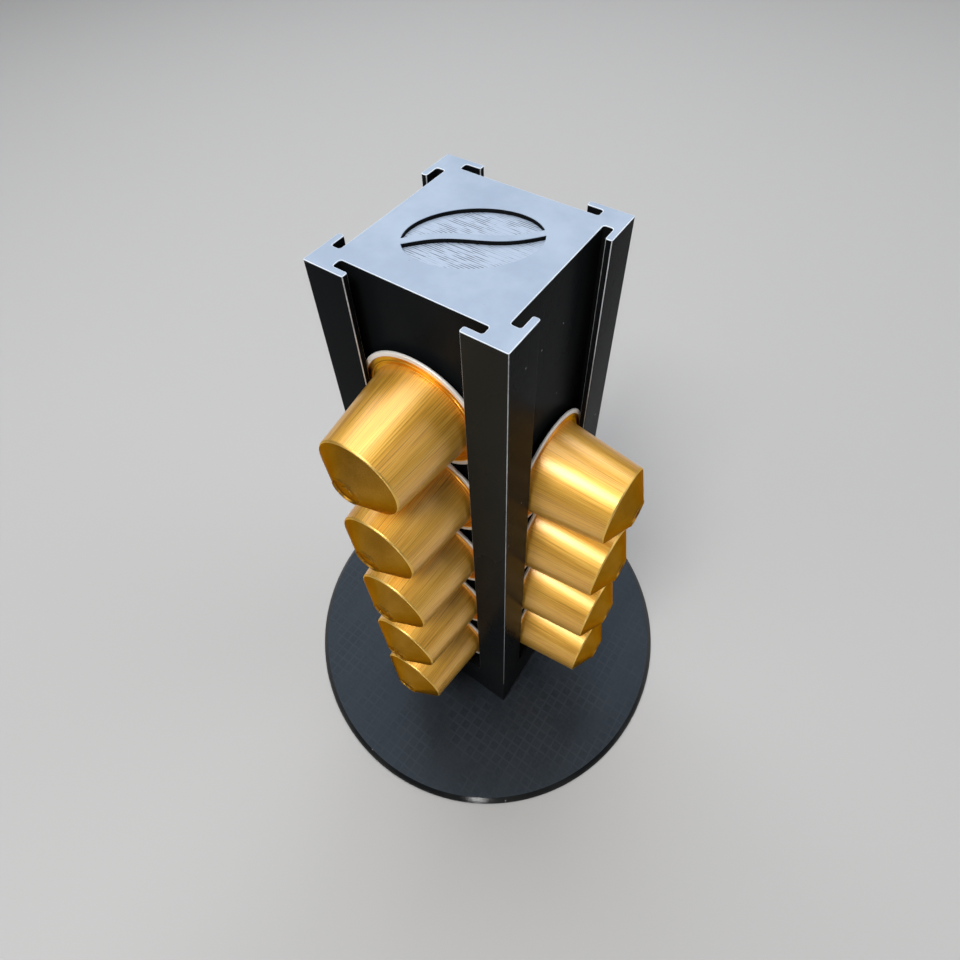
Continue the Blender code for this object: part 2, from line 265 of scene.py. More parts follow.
@dataclass(frozen=True)
class BlackPrint:
    """Near-black glossy print, with fine layers, a slow waviness and a few grains of dust.

    A faint warm painted reflection, with painted light, lies on the right part of the -Y side and grows
    towards the top.
    """

    name: str = "black print"
    colour: Colour = (0.0065, 0.0075, 0.0085)
    wear_and_highlight: Colour = (0.0110, 0.0114, 0.0114)
    painted_reflection: Colour = (0.0205, 0.0205, 0.0172)
    dust: Colour = (0.22, 0.22, 0.23)
    roughness: Pair = (0.22, 0.32)
    shine: float = 0.010
    layer: float = 0.2 * MM
    layer_wander: float = 0.4
    layer_depth: float = 0.004 * MM
    waves: Noise = Noise(420.0, 3.0, stretch=(0.1, 0.1, 1.0))
    wave_depth: float = 0.03 * MM
    patches: Noise = Noise(45.0, 4.0, stretch=(1.0, 1.0, 0.35))
    worn_marks: Step = (0.45, 0.75)
    dust_cells: float = 210.0
    dust_grain: Step = (0.040, 0.064, *FALLING)
    dust_chance: Step = (0.55, 0.60)
    dust_rough: float = 0.5
    reflection_face: Step = (-26.9 * MM, -26.2 * MM, *FALLING)
    reflection_side: Step = (0.0, 15 * MM)
    reflection_rise: Step = (60 * MM, 190 * MM)

    def make(self) -> Material:
        """The material."""
        graph = Graph(self.name)
        x, y, z = graph.apart(graph.place)
        patches = graph.noise(self.patches)
        distance, chance = graph.cells(self.dust_cells)
        dusty = graph.times(graph.span(distance, *self.dust_grain), graph.span(chance, *self.dust_chance))
        # Painted reflection: a warm light on the -Y side's right part that grows towards the top.
        near_face = graph.times(graph.span(y, *self.reflection_face), graph.span(x, *self.reflection_side))
        painted_reflection = graph.times(near_face, graph.span(z, *self.reflection_rise))
        clean = graph.mix(graph.span(patches, *self.worn_marks), self.colour, self.wear_and_highlight)
        rough = graph.maths("ADD", graph.over(patches, self.roughness), graph.times(dusty, self.dust_rough))
        waves = graph.bump(graph.noise(self.waves), self.wave_depth)
        layers = graph.bands(graph.place, self.layer, "Z", self.layer_wander)
        return graph.shade(
            Base_Color=graph.mix(dusty, graph.mix(painted_reflection, clean, self.painted_reflection), self.dust),
            Roughness=rough,
            Specular_IOR_Level=self.shine,
            Normal=graph.bump(layers, self.layer_depth, waves),
        )


@dataclass(frozen=True)
class EdgeHighlight:
    """An upright edge of the black print with a painted highlight: a pale line that comes and goes and
    grows towards the top.
    """

    dark: Colour = (0.035, 0.038, 0.042)
    light: Colour = (0.640, 0.660, 0.690)
    roughness: float = 0.35
    shine: float = 0.3
    breaks: Noise = Noise(160.0, 4.0, 0.6, (1.0, 1.0, 0.15))
    nicks: Noise = Noise(1400.0)
    nick_part: float = 0.3
    nick_depth: float = 0.01 * MM
    highlight_marks: Step = (0.45, 0.75, 0.3, 1.0)
    rise: Step = (20 * MM, 210 * MM, 0.25, 1.0)

    def make(self) -> Material:
        """The material."""
        graph = Graph("painted edge highlight")
        nicks = graph.noise(self.nicks)
        line = graph.maths("ADD", graph.noise(self.breaks), graph.times(nicks, self.nick_part))
        height = graph.apart(graph.place)[2]
        # Painted highlight: the pale line shows more towards the top.
        shown = graph.times(graph.span(line, *self.highlight_marks), graph.span(height, *self.rise))
        return graph.shade(
            Base_Color=graph.mix(shown, self.dark, self.light),
            Roughness=self.roughness,
            Specular_IOR_Level=self.shine,
            Normal=graph.bump(nicks, self.nick_depth),
        )


@dataclass(frozen=True)
class BasePrint:
    """The disc's blue-black print: a faint net of squares that shows through a satin top face."""

    colour: Colour = (0.0130, 0.0160, 0.0200)
    light: Colour = (0.0220, 0.0255, 0.0310)
    line: Colour = (0.0285, 0.0335, 0.0415)
    # The blue tint of the reflection is a painted bluish sheen.
    tint: Colour = (0.62, 0.80, 1.0)
    roughness: Pair = (0.36, 0.48)
    rough_marks: Step = (0.3, 1.2)
    shine: float = 0.24
    square: float = 3.5 * MM
    square_tone: Step = (0.35, 0.65, 0.0, 0.35)
    line_edge: Step = (0.12 * MM, 0.48 * MM, *FALLING)
    line_tone: Step = (0.38, 0.62, 0.0, 0.6)
    line_depth: float = 0.003 * MM
    faint: Noise = Noise(60.0, 3.0)
    streaks: Noise = Noise(120.0, 3.0, stretch=(1.0, 0.25, 1.0), turn=SLANT)
    streak_tone: Step = (0.35, 0.70, 0.0, 0.5)
    grain: Noise = Noise(800.0, 3.0, 0.6)
    grain_tone: Step = (0.38, 0.66, 0.0, 0.5)
    stripe: float = 0.42 * MM
    stripe_wander: float = 0.3
    stripe_depth: float = 0.004 * MM

    def make(self) -> Material:
        """The material."""
        graph = Graph("base print")
        faint = graph.noise(self.faint)
        lines = [graph.maths("PINGPONG", axis, self.square / 2) for axis in graph.apart(graph.place)[:2]]
        net = graph.span(graph.maths("MINIMUM", *lines), *self.line_edge)
        shown = graph.times(net, graph.span(faint, *self.line_tone))
        squares = graph.node("ShaderNodeTexChecker", {"Vector": graph.place, "Scale": 1 / self.square})
        tone = graph.times(squares.outputs["Fac"], graph.span(faint, *self.square_tone))
        streaks = graph.span(graph.noise(self.streaks), *self.streak_tone)
        smooth = graph.mix(graph.maths("ADD", tone, streaks), self.colour, self.light)
        plain = graph.mix(graph.span(graph.noise(self.grain), *self.grain_tone), smooth, self.light)
        stripes = graph.bump(graph.slanting(self.stripe, self.stripe_wander), self.stripe_depth)
        return graph.shade(
            Base_Color=graph.mix(shown, plain, self.line),
            Roughness=graph.span(graph.maths("ADD", faint, tone), *self.rough_marks, *self.roughness),
            Specular_IOR_Level=self.shine,
            Specular_Tint=self.tint,
            Normal=graph.bump(shown, self.line_depth, stripes),
        )


@dataclass(frozen=True)
class PalePrint:
    """The top's pale print: close slanting print lines, cloudy tone and pinholes in patches."""

    name: str = "pale print"
    colour: Colour = (0.262, 0.334, 0.443)
    light: Colour = (0.325, 0.402, 0.515)
    pin: Colour = (0.080, 0.095, 0.125)
    roughness: Pair = (0.36, 0.52)
    shine: float = 0.30
    stripe: float = 0.42 * MM
    stripe_wander: float = 0.5
    stripe_depth: float = 0.008 * MM
    clouds: Noise = Noise(70.0, 4.0, 0.6)
    pin_cells: float = 900.0
    pin_edge: Step = (0.12, 0.24, *FALLING)
    pin_chance: Step = (0.80, 0.84)
    pin_patches: Noise = Noise(130.0)
    patch_edge: Step = (0.60, 0.68)
    pin_depth: float = 0.02 * MM

    def make(self) -> Material:
        """The material."""
        graph = Graph(self.name)
        clouds = graph.noise(self.clouds)
        distance, chance = graph.cells(self.pin_cells)
        holes = graph.times(graph.span(distance, *self.pin_edge), graph.span(chance, *self.pin_chance))
        pins = graph.times(holes, graph.span(graph.noise(self.pin_patches), *self.patch_edge))
        plain = graph.mix(graph.over(clouds), self.colour, self.light)
        stripes = graph.bump(graph.slanting(self.stripe, self.stripe_wander), self.stripe_depth)
        return graph.shade(
            Base_Color=graph.mix(pins, plain, self.pin),
            Roughness=graph.over(clouds, self.roughness),
            Specular_IOR_Level=self.shine,
            Normal=graph.bump(graph.maths("SUBTRACT", 1.0, pins), self.pin_depth, stripes),
        )


@dataclass(frozen=True)
class RecessFloor:
    """The sunk motif's floor: the same pale print, with gaps between its lines."""

    colour: Colour = (0.335, 0.410, 0.530)
    gap: Colour = (0.045, 0.052, 0.070)
    roughness: float = 0.55
    stripe: float = 0.62 * MM
    stripe_wander: float = 0.15
    stripe_depth: float = 0.03 * MM
    gap_edge: Step = (0.08, 0.42, *FALLING)
    breaks: Noise = Noise(900.0, stretch=(0.25, 1.6, 1.0))
    break_edge: Step = (0.40, 0.55)
    patches: Noise = Noise(150.0, 3.0, 0.6)
    patch_tone: Step = (0.40, 0.58, 0.25, 1.0)

    def make(self) -> Material:
        """The material."""
        graph = Graph("recess floor")
        stripes = graph.bands(graph.place, self.stripe, "Y", self.stripe_wander)
        broken = graph.span(graph.noise(self.breaks), *self.break_edge)
        line = graph.times(graph.span(stripes, *self.gap_edge), broken)
        gaps = graph.times(line, graph.span(graph.noise(self.patches), *self.patch_tone))
        return graph.shade(
            Base_Color=graph.mix(gaps, self.colour, self.gap),
            Roughness=self.roughness,
            Normal=graph.bump(stripes, self.stripe_depth),
        )


@dataclass(frozen=True)
class BrushedGold:
    """Gold-lacquered aluminium, drawn along the capsule's wall so that fine streaks run with its axis."""

    dark: Colour = (0.620, 0.285, 0.018)
    middle: Colour = (0.930, 0.485, 0.045)
    light: Colour = (0.990, 0.640, 0.125)
    marks: Triple = (0.29, 0.46, 0.70)
    edge: Colour = (0.92, 0.58, 0.16)
    metal: float = 0.70
    roughness: Pair = (0.44, 0.52)
    streaks: Noise = Noise(2900.0, 3.0, 0.65, (1.0, 1.0, 0.020))
    streak_part: float = 0.78
    loose: Noise = Noise(420.0, stretch=(1.0, 1.0, 0.06))
    lines: float = 160.0
    wander: float = 26.0
    line_part: Step = (0.35, 0.65, 0.22, 0.05)
    depth: float = 0.010 * MM
    coat: float = 1.0
    coat_index: float = 1.74
    coat_roughness: float = 0.31

    def make(self) -> Material:
        """The material."""
        graph = Graph("brushed gold")
        along = graph.along()
        loose = graph.noise(self.loose, along)
        x, y, _ = graph.apart(along)
        turn = graph.times(graph.maths("ARCTAN2", y, x), self.lines)
        phase = graph.maths("ADD", turn, graph.times(loose, self.wander))
        lines = graph.span(graph.maths("SINE", phase), -1.0, 1.0)
        clear = graph.times(lines, graph.span(loose, *self.line_part))
        streaks = graph.times(graph.noise(self.streaks, along), self.streak_part)
        fine = graph.maths("ADD", streaks, clear)
        return graph.shade(
            Base_Color=graph.ramp(fine, self.marks, (self.dark, self.middle, self.light)),
            Metallic=self.metal,
            Specular_Tint=self.edge,
            Roughness=graph.over(fine, self.roughness),
            Normal=graph.bump(fine, self.depth),
            Coat_Weight=self.coat,
            Coat_IOR=self.coat_index,
            Coat_Roughness=self.coat_roughness,
        )


@dataclass(frozen=True)
class GrainedGold:
    """The same lacquer where the metal is pressed, not drawn: a fine even grain."""

    name: str
    colour: Colour
    light: Colour
    roughness: Pair = (0.30, 0.42)
    edge: Colour = (0.80, 0.45, 0.12)
    grain: Noise = Noise(3200.0, 3.0, 0.6)
    broad: Noise = Noise(160.0)
    tone_marks: Step = (0.75, 1.3)
    depth: float = 0.006 * MM

    def make(self) -> Material:
        """The material."""
        graph = Graph(self.name)
        grain = graph.noise(self.grain)
        tone = graph.span(graph.maths("ADD", grain, graph.noise(self.broad)), *self.tone_marks)
        return graph.shade(
            Base_Color=graph.mix(tone, self.colour, self.light),
            Metallic=1.0,
            Specular_Tint=self.edge,
            Roughness=graph.over(grain, self.roughness),
            Normal=graph.bump(grain, self.depth),
        )


@dataclass(frozen=True)
class BareMetal:
    """Bare silvery metal with a soft crinkle and a fine grain."""

    name: str
    colour: Colour = (0.80, 0.79, 0.77)
    light: Colour = (0.92, 0.91, 0.90)
    roughness: Pair = (0.26, 0.42)
    crinkle: Noise = Noise(380.0, 3.0, 0.6)
    depth: float = 0.03 * MM
    metal: float = 1.0
    grain: Noise = Noise(4000.0)

    def make(self) -> Material:
        """The material."""
        graph = Graph(self.name)
        crinkle = graph.noise(self.crinkle)
        return graph.shade(
            Base_Color=graph.mix(crinkle, self.colour, self.light),
            Metallic=self.metal,
            Roughness=graph.over(graph.noise(self.grain), self.roughness),
            Normal=graph.bump(crinkle, self.depth),
        )


@dataclass(frozen=True)
class Grains:
    """A dull stuff of fine grains, such as ground coffee or rubber."""

    name: str
    dark: Colour
    light: Colour
    roughness: Pair
    size: float
    depth: float
    tone: Noise

    def make(self) -> Material:
        """The material."""
        graph = Graph(self.name)
        distance, _ = graph.cells(1 / self.size)
        tone = graph.noise(self.tone)
        return graph.shade(
            Base_Color=graph.mix(graph.over(tone), self.dark, self.light),
            Roughness=graph.over(tone, self.roughness),
            Normal=graph.bump(distance, self.depth),
        )


def arc_points(arcs: Array, steps: int) -> tuple[Array, Array]:
    """Points along arcs, and the way that each arc's circle faces at them.

    A row of arcs holds a centre x and y, a radius, a start angle and an end angle. A point is the
    centre plus the radius times (cos t, sin t), with t in even steps from the start to the end.

    Args:
        arcs: The arcs, one to a row.
        steps: The steps in each arc.

    Returns:
        The points and the facings, each arcs by steps + 1 by 2.
    """
    share = np.linspace(0.0, 1.0, steps + 1)
    turn = arcs[:, 3:4] + (arcs[:, 4:5] - arcs[:, 3:4]) * share
    facing = np.stack([np.cos(turn), np.sin(turn)], axis=-1)
    return arcs[:, None, 0:2] + arcs[:, None, 2:3] * facing, facing


def rounded(corners: Sequence[Triple], steps: int) -> Array:
    """A path of straight runs with an arc at each corner.

    At a corner, a and b are the unit ways to its two neighbours and h is half the angle between
    them. The arc touches each side at radius / tan h from the corner, and its centre lies
    radius / sin h from the corner along a + b. The path's two ends stay as they are.

    Args:
        corners: The radius from the axis, the height and the corner's own rounding, in millimetres.
        steps: The steps in each corner's arc.

    Returns:
        The path's points in metres, steps + 1 to a corner.
    """
    table = np.array(corners) * MM
    spots = table[:, :2]
    inner = spots[1:-1]
    to_last = spots[:-2] - inner
    to_next = spots[2:] - inner
    to_last /= np.linalg.norm(to_last, axis=1, keepdims=True)
    to_next /= np.linalg.norm(to_next, axis=1, keepdims=True)
    half = np.arccos(np.clip((to_last * to_next).sum(axis=1), -1.0, 1.0)) / 2
    radius = table[1:-1, 2]
    bisector = to_last + to_next
    bisector /= np.linalg.norm(bisector, axis=1, keepdims=True)
    centre = inner + bisector * (radius / np.sin(half))[:, None]
    reach = (radius / np.tan(half))[:, None]
    start = inner + to_last * reach - centre
    end = inner + to_next * reach - centre
    first = np.arctan2(start[:, 1], start[:, 0])
    sweep = (np.arctan2(end[:, 1], end[:, 0]) - first + pi) % (2 * pi) - pi
    arcs = np.column_stack([centre, radius, first, first + sweep])
    points, _ = arc_points(arcs, steps)
    ends = np.repeat(spots[[0, -1]][:, None], steps + 1, axis=1)
    return np.concatenate([ends[:1], points, ends[1:]]).reshape(-1, 2)


def turned(profile: Array, sides: int) -> Array:
    """A profile turned about +Z: at angle u, a point (r, z) goes to (r cos u, r sin u, z).

    Args:
        profile: The (r, z) points.
        sides: The steps round the axis.

    Returns:
        The grid of points, one row to a profile point.
    """
    turn = np.arange(sides) * 2 * pi / sides
    radius, height = profile[:, 0:1], profile[:, 1:2]
    return np.stack([radius * np.cos(turn), radius * np.sin(turn), height + 0 * turn], axis=-1)


def walls(outline: Array, heights: Sequence[float]) -> Array:
    """Upright walls over an outline: a row of its (x, y) points at each height."""
    flat = np.broadcast_to(outline, (len(heights), *outline.shape))
    rise = np.broadcast_to(np.array(heights)[:, None, None], (*flat.shape[:2], 1))
    return np.concatenate([flat, rise], axis=-1)


def drawn_in(outline: Array, inset: float) -> Array:
    """A closed outline drawn in along its own normals.

    A point's normal is the sum of its two edges' normals, and it moves by inset / cos h along it,
    with h half the angle between those two.

    Args:
        outline: The (x, y) points, counter-clockwise.
        inset: How far each edge moves in.

    Returns:
        The moved points.
    """
    ahead = np.roll(outline, -1, axis=0) - outline
    ahead /= np.linalg.norm(ahead, axis=1, keepdims=True)
    outward = np.stack([ahead[:, 1], -ahead[:, 0]], axis=-1)
    both = outward + np.roll(outward, 1, axis=0)
    return outline - inset * 2 * both / (both ** 2).sum(axis=1, keepdims=True)


def corner_spots(reach: float) -> dict[str, Pair]:
    """The name and place of each corner of a square that reaches this far to every side."""
    return {f"{end}_{side}": (x, y) for end, y in (("front", -reach), ("back", reach))
            for side, x in (("left", -reach), ("right", reach))}


def at_corners(grid: Array, reach: float) -> list[Array]:
    """A grid set down at each corner of a square that reaches this far to every side."""
    return [grid + (*spot, 0.0) for spot in corner_spots(reach).values()]


def barrel(radius: float, low: float, high: float, sides: int) -> Array:
    """An upright round wall about +Z: its lower edge, then its upper edge."""
    return turned(np.array([(radius, low), (radius, high)]), sides)


def ring(outline: Array, height: float) -> Array:
    """An outline's points at one height."""
    return walls(outline, (height,))[0]


def placed(grid: Array, place: Matrix) -> Array:
    """A grid taken from a piece's own frame to the object's."""
    return grid @ np.array(place.to_3x3()).T + np.array(place.translation)


def put(name: str, data: bpy.types.ID) -> Piece:
    """Puts a mesh, a lamp or a camera in the scene."""
    made = bpy.data.objects.new(name, data)
    bpy.context.scene.collection.objects.link(made)
    return made


class Shell:
    """One closed piece: patches of faces are laid one by one and welded shut at their shared edges."""

    def __init__(self) -> None:
        """Starts with nothing laid."""
        self.points: list[Array] = []
        self.along: list[Array] = []
        self.faces: list[list[list[int]]] = []
        self.finishes: list[Array] = []
        self.count = 0

    def add(self, points: Array, faces: Array, finish: int | Array, along: Array | None = None) -> None:
        """Adds a patch.

        Args:
            points: Its points.
            faces: Its faces, by their place among its points.
            finish: The place of its finish in the piece's list, or one for each face.
            along: Its own coordinates at each point, where a finish follows the wall.
        """
        self.points.append(points)
        self.along.append(np.zeros_like(points) if along is None else along)
        self.faces.append((faces + self.count).tolist())
        self.finishes.append(np.broadcast_to(finish, len(faces)))
        self.count += len(points)

    def lay(self, grid: Array, finish: int | Array = 0, along: Array | None = None) -> None:
        """Lays a grid whose rows close on themselves: a face joins two rows and two columns.

        Args:
            grid: The points, rows by columns by 3.
            finish: The finish, one for each column, or a column of one for each row.
            along: The piece's own coordinates at each point.
        """
        rows, columns = grid.shape[:2]
        here = np.arange(rows * columns).reshape(rows, columns)
        beside = np.roll(here, -1, axis=1)
        quads = np.stack([here[:-1], beside[:-1], beside[1:], here[1:]], axis=-1).reshape(-1, 4)
        flat = None if along is None else along.reshape(-1, 3)
        finishes = np.broadcast_to(finish, (rows - 1, columns)).ravel()
        self.add(grid.reshape(-1, 3), quads, finishes, flat)

    def cap(self, rings: Sequence[Array], finish: int = 0) -> None:
        """Closes a flat opening: the first ring is its edge and the others are holes in it."""
        triangles = np.array(tessellate_polygon([ring.tolist() for ring in rings]))
        self.add(np.concatenate(rings), triangles, finish)

    def finish(self, name: str, materials: Sequence[Material]) -> Piece:
        """Welds the patches, turns the faces out and puts the piece in the scene.

        Args:
            name: The piece's name.
            materials: Its finishes, in the order that the patches name them.

        Returns:
            The piece.
        """
        mesh = bpy.data.meshes.new(name)
        mesh.from_pydata(np.concatenate(self.points), [], [face for patch in self.faces for face in patch])
        mesh.polygons.foreach_set("material_index", np.concatenate(self.finishes).astype(np.int32))
        own = mesh.attributes.new(ALONG, "FLOAT_VECTOR", "POINT")
        own.data.foreach_set("vector", np.concatenate(self.along).astype(np.float32).ravel())
        edit = bmesh.new()
        edit.from_mesh(mesh)
        bmesh.ops.remove_doubles(edit, verts=edit.verts, dist=WELD)
        bmesh.ops.recalc_face_normals(edit, faces=edit.faces)
        edit.to_mesh(mesh)
        edit.free()
        for material in materials:
            mesh.materials.append(material)
        mesh.shade_smooth()
        mesh.set_sharp_from_angle(angle=SHARP)
        piece = put(name, mesh)
        weighted = piece.modifiers.new("even shading", "WEIGHTED_NORMAL")
        weighted.keep_sharp = True
        return piece


def turned_piece(name: str, grid: Array, material: Material) -> Piece:
    """A piece of one turned grid that closes on its own axis."""
    shell = Shell()
    shell.lay(grid)
    return shell.finish(name, [material])


def settle(piece: Piece, body: str, slot: Slot, *nodes: str) -> None:
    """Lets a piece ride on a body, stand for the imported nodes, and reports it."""
    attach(piece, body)
    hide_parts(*nodes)
    log.info("%s: %d faces on %s", piece.name, len(piece.data.polygons), body)


def dress(node: str, material: Material) -> None:
    """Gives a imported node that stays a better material, and reports it."""
    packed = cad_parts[node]
    for place in packed.material_slots:
        place.material = material
    log.info("%s: packed shape, finish %s", node, material.name)


@dataclass
class ChannelPlan:
    """The tower's outline seen from above, with its four T-shaped channels."""

    face: float = 27.0 * MM
    slot_front: float = 25.2 * MM
    slot_back: float = 22.586 * MM
    slot_half_width: float = 19.8 * MM
    opening_half_width: float = 15.3 * MM
    edge_round: float = 0.4 * MM
    lip_round: float = 0.5 * MM
    slot_round: float = 0.7 * MM
    steps: int = 6

    def arcs(self) -> Array:
        """The -Y side's arcs, counter-clockwise: the corner, then each lip and slot corner in turn."""
        corner = self.face - self.edge_round
        lip_x = self.opening_half_width + self.lip_round
        lip_front = self.lip_round - self.face
        lip_back = -self.slot_front - self.lip_round
        slot_x = self.slot_half_width - self.slot_round
        slot_front = self.slot_round - self.slot_front
        slot_back = -self.slot_back - self.slot_round
        quarter = pi / 2
        return np.array([
            (-corner, -corner, self.edge_round, 2 * quarter, 3 * quarter),
            (-lip_x, lip_front, self.lip_round, -quarter, 0.0),
            (-lip_x, lip_back, self.lip_round, 0.0, quarter),
            (-slot_x, slot_front, self.slot_round, 3 * quarter, 2 * quarter),
            (-slot_x, slot_back, self.slot_round, 2 * quarter, quarter),
            (slot_x, slot_back, self.slot_round, quarter, 0.0),
            (slot_x, slot_front, self.slot_round, 0.0, -quarter),
            (lip_x, lip_back, self.lip_round, quarter, 2 * quarter),
            (lip_x, lip_front, self.lip_round, 2 * quarter, 3 * quarter),
        ])

    def sides(self) -> Array:
        """The outline as 4 sides by their points by 2: the -Y side, turned by a quarter each time."""
        points, _ = arc_points(self.arcs(), self.steps)
        turn = np.arange(4) * pi / 2
        sine, cosine = np.sin(turn), np.cos(turn)
        spin = np.array([[cosine, -sine], [sine, cosine]])
        return np.einsum("ijq,nj->qni", spin, points.reshape(-1, 2))

    def outline(self) -> Array:
        """The whole outline, counter-clockwise."""
        return self.sides().reshape(-1, 2)

    def square(self) -> Array:
        """The outline with its channels closed: each corner's arc and the outer end of each lip."""
        sides = self.sides()
        last = sides.shape[1] - 1
        kept = [*range(self.steps + 2), last]
        return sides[:, kept].reshape(-1, 2)

    def wear_and_highlight(self, plain: int, edge: int) -> Array:
        """The finish of each step round the outline: a painted highlight in the middle of each outward arc.

        Args:
            plain: The finish of all other steps.
            edge: The finish of the corners' and the lips' painted highlight lines.

        Returns:
            One finish to a step.
        """
        reach = np.array([1, 1, 1, 0, 0, 0, 0, 1, 1])[:, None]
        middle = np.abs(np.arange(self.steps + 1) - (self.steps - 1) / 2) < reach
        side = np.where(middle, edge, plain).ravel()
        return np.tile(side, 4)

    def openings(self) -> Array:
        """Each channel's own outline, from the outer end of one lip to that of the other."""
        return self.sides()[:, self.steps + 1:]


@dataclass
class Tower:
    """The printed column with its four channels, a sill under each, and the screws' holes."""

    plan: ChannelPlan = field(default_factory=ChannelPlan)
    bottom: float = 2.7 * MM
    sill_top: float = 22.8 * MM
    top: float = 209.5 * MM
    screw_bore: float = 1.8 * MM
    bore_top: float = 15.5 * MM
    bore_sides: int = 24

    def build(self, black: Material, wear_and_highlight: Material) -> None:
        """Builds the column: the square foot's walls, the channels' walls, and the flat faces between."""
        foot = walls(self.plan.square(), (self.bottom, self.sill_top))
        column = walls(self.plan.outline(), (self.sill_top, self.top))
        shell = Shell()
        shell.lay(foot)
        # The outward arcs of the corners and lips take the painted edge highlight.
        shell.lay(column, self.plan.wear_and_highlight(0, 1))
        hole = barrel(self.screw_bore, self.bottom, self.bore_top, self.bore_sides)
        bores = at_corners(hole, SCREW_PLACE)
        for bore in bores:
            shell.lay(bore)
            shell.cap([bore[1]])
        shell.cap([foot[0], *[bore[0] for bore in bores]])
        shell.cap([column[1]])
        for opening in self.plan.openings():
            shell.cap([ring(opening, self.sill_top)])
        settle(shell.finish("tower_column", [black, wear_and_highlight]), "tower", Slot.BLACK, "tower_body")


@dataclass
class TopPlate:
    """The pale top: the column's outline with a fine round edge and a coffee bean sunk in it."""

    plan: ChannelPlan = field(default_factory=ChannelPlan)
    bottom: float = 209.53 * MM
    top: float = 211.161 * MM
    edge_round: float = 0.18 * MM
    edge_steps: int = 3
    depth: float = 1.2 * MM
    lip_chamfer: float = 0.1 * MM
    bean_length: float = 33.0 * MM
    bean_width: float = 23.0 * MM
    ridge: float = 2.2 * MM
    sway: float = 1.2 * MM
    bean_turn: float = radians(38)
    bean_steps: int = 48

    def lobe(self, side: int) -> Array:
        """One half of the bean, counter-clockwise.

        Its outer edge is (a cos t, b sin t), half an ellipse. Its inner edge runs back along the
        middle, half a ridge away from y = sway sin(2 pi s), with s from 0 to 1 on the way.

        Args:
            side: 1 for the upper half and -1 for the lower.

        Returns:
            The (x, y) points.
        """
        a, b = self.bean_length / 2, self.bean_width / 2
        end = np.arctan2(self.ridge, self.bean_width)
        turn = np.linspace(end, pi - end, self.bean_steps + 1)
        outer = np.stack([a * np.cos(turn), side * b * np.sin(turn)], axis=-1)
        share = np.linspace(0.0, 1.0, self.bean_steps + 1)[1:-1]
        inner_y = self.sway * np.sin(2 * pi * share) + side * self.ridge / 2
        inner = np.stack([outer[-1, 0] * (1 - 2 * share), inner_y], axis=-1)
        sine, cosine = sin(self.bean_turn), cos(self.bean_turn)
        return np.concatenate([outer, inner])[::side] @ np.array([[cosine, sine], [-sine, cosine]])

    def build(self, finishes: Sequence[Material]) -> None:
        """Builds the plate: black walls, a rounded edge painted pale as a highlight, a pale top, and the
        two sunk lobes.

        Args:
            finishes: The top's, the walls', the sunk floor's, the upright edges' painted highlight and the
                rounded rim's painted highlight.
        """
        face, wall, sunk, wear_and_highlight, rim = range(len(finishes))
        outline = self.plan.outline()
        turn = np.linspace(0.0, pi / 2, self.edge_steps + 1)
        low = self.top - self.edge_round
        insets = self.edge_round * (1 - np.cos(turn))
        heights = low + self.edge_round * np.sin(turn)
        edge = np.stack([ring(drawn_in(outline, inset), height) for inset, height in zip(insets, heights)])
        side = walls(outline, (self.bottom, low))
        shell = Shell()
        shell.lay(side, self.plan.wear_and_highlight(wall, wear_and_highlight))
        shell.lay(edge, rim)
        shell.cap([side[0]], wall)
        mouths = []
        for half in (-1, 1):
            lobe = self.lobe(half)
            mouth = ring(drawn_in(lobe, -self.lip_chamfer), self.top)
            drop = walls(lobe, (self.top - self.lip_chamfer, self.top - self.depth))
            shell.lay(np.stack([mouth, drop[0]]), face)
            shell.lay(drop, wall)
            shell.cap([drop[1]], sunk)
            mouths.append(mouth)
        shell.cap([edge[-1], *mouths], face)
        settle(shell.finish("top_face", finishes), "tower", Slot.PALE, "top_plate")


@dataclass
class BaseDisc:
    """The round base: a thin plate with a sloped edge, pads' pockets and the screws' sunk holes.

    Its sizes are in millimetres.
    """

    radius: float = 75.0
    bottom: float = 0.3
    top: float = 2.4
    margin: float = 1.0
    slope_width: float = 1.7
    brink_round: float = 0.1
    brow_width: float = 1.1
    brow_drop: float = 1.05
    brow_round: float = 0.3
    foot_height: float = 0.4
    foot_round: float = 0.15
    heel_round: float = 0.08
    edge_steps: int = 4
    head_radius: float = 3.2
    head_sink: float = 0.2
    shank_radius: float = 1.8
    head_top: float = 2.2
    pocket_radius: float = 7.3
    pocket_top: float = 1.5
    sides: int = 240
    hole_sides: int = 48
    hole_steps: int = 1

    def build(self, satin: Material, gloss: Material) -> None:
        """Builds the disc: its turned glossy edge, its holes, and the flat faces round them."""
        brink = self.radius - self.slope_width
        edge = rounded([
            (brink - self.margin, self.top, 0.0),
            (brink, self.top, self.brink_round),
            (brink + self.brow_width, self.top - self.brow_drop, self.brow_round),
            (self.radius, self.bottom + self.foot_height, self.foot_round),
            (self.radius, self.bottom, self.heel_round),
            (self.radius - self.margin, self.bottom, 0.0),
        ], self.edge_steps)
        rim = turned(edge, self.sides)
        # The gloss starts in the middle of the brink's arc.
        brink_middle = self.edge_steps + 1 + self.edge_steps // 2
        glossy = np.arange(len(edge) - 1) >= brink_middle
        shell = Shell()
        shell.lay(rim, glossy[:, None])
        hole = rounded([
            (self.head_radius, self.bottom, 0.0),
            (self.head_radius, self.bottom + self.head_sink, 0.0),
            (self.shank_radius, self.head_top, 0.0),
            (self.shank_radius, self.top, 0.0),
        ], self.hole_steps)
        pocket = barrel(self.pocket_radius, self.bottom, self.pocket_top, self.hole_sides) * MM
        holes = at_corners(turned(hole, self.hole_sides), SCREW_PLACE)
        pockets = at_corners(pocket, PAD_PLACE)
        for grid in [*holes, *pockets]:
            shell.lay(grid)
        for grid in pockets:
            shell.cap([grid[-1]])
        shell.cap([rim[0], *[grid[-1] for grid in holes]])
        shell.cap([rim[-1], *[grid[0] for grid in [*holes, *pockets]]])
        settle(shell.finish("base_round", [satin, gloss]), "tower", Slot.BASE, "base_disc")


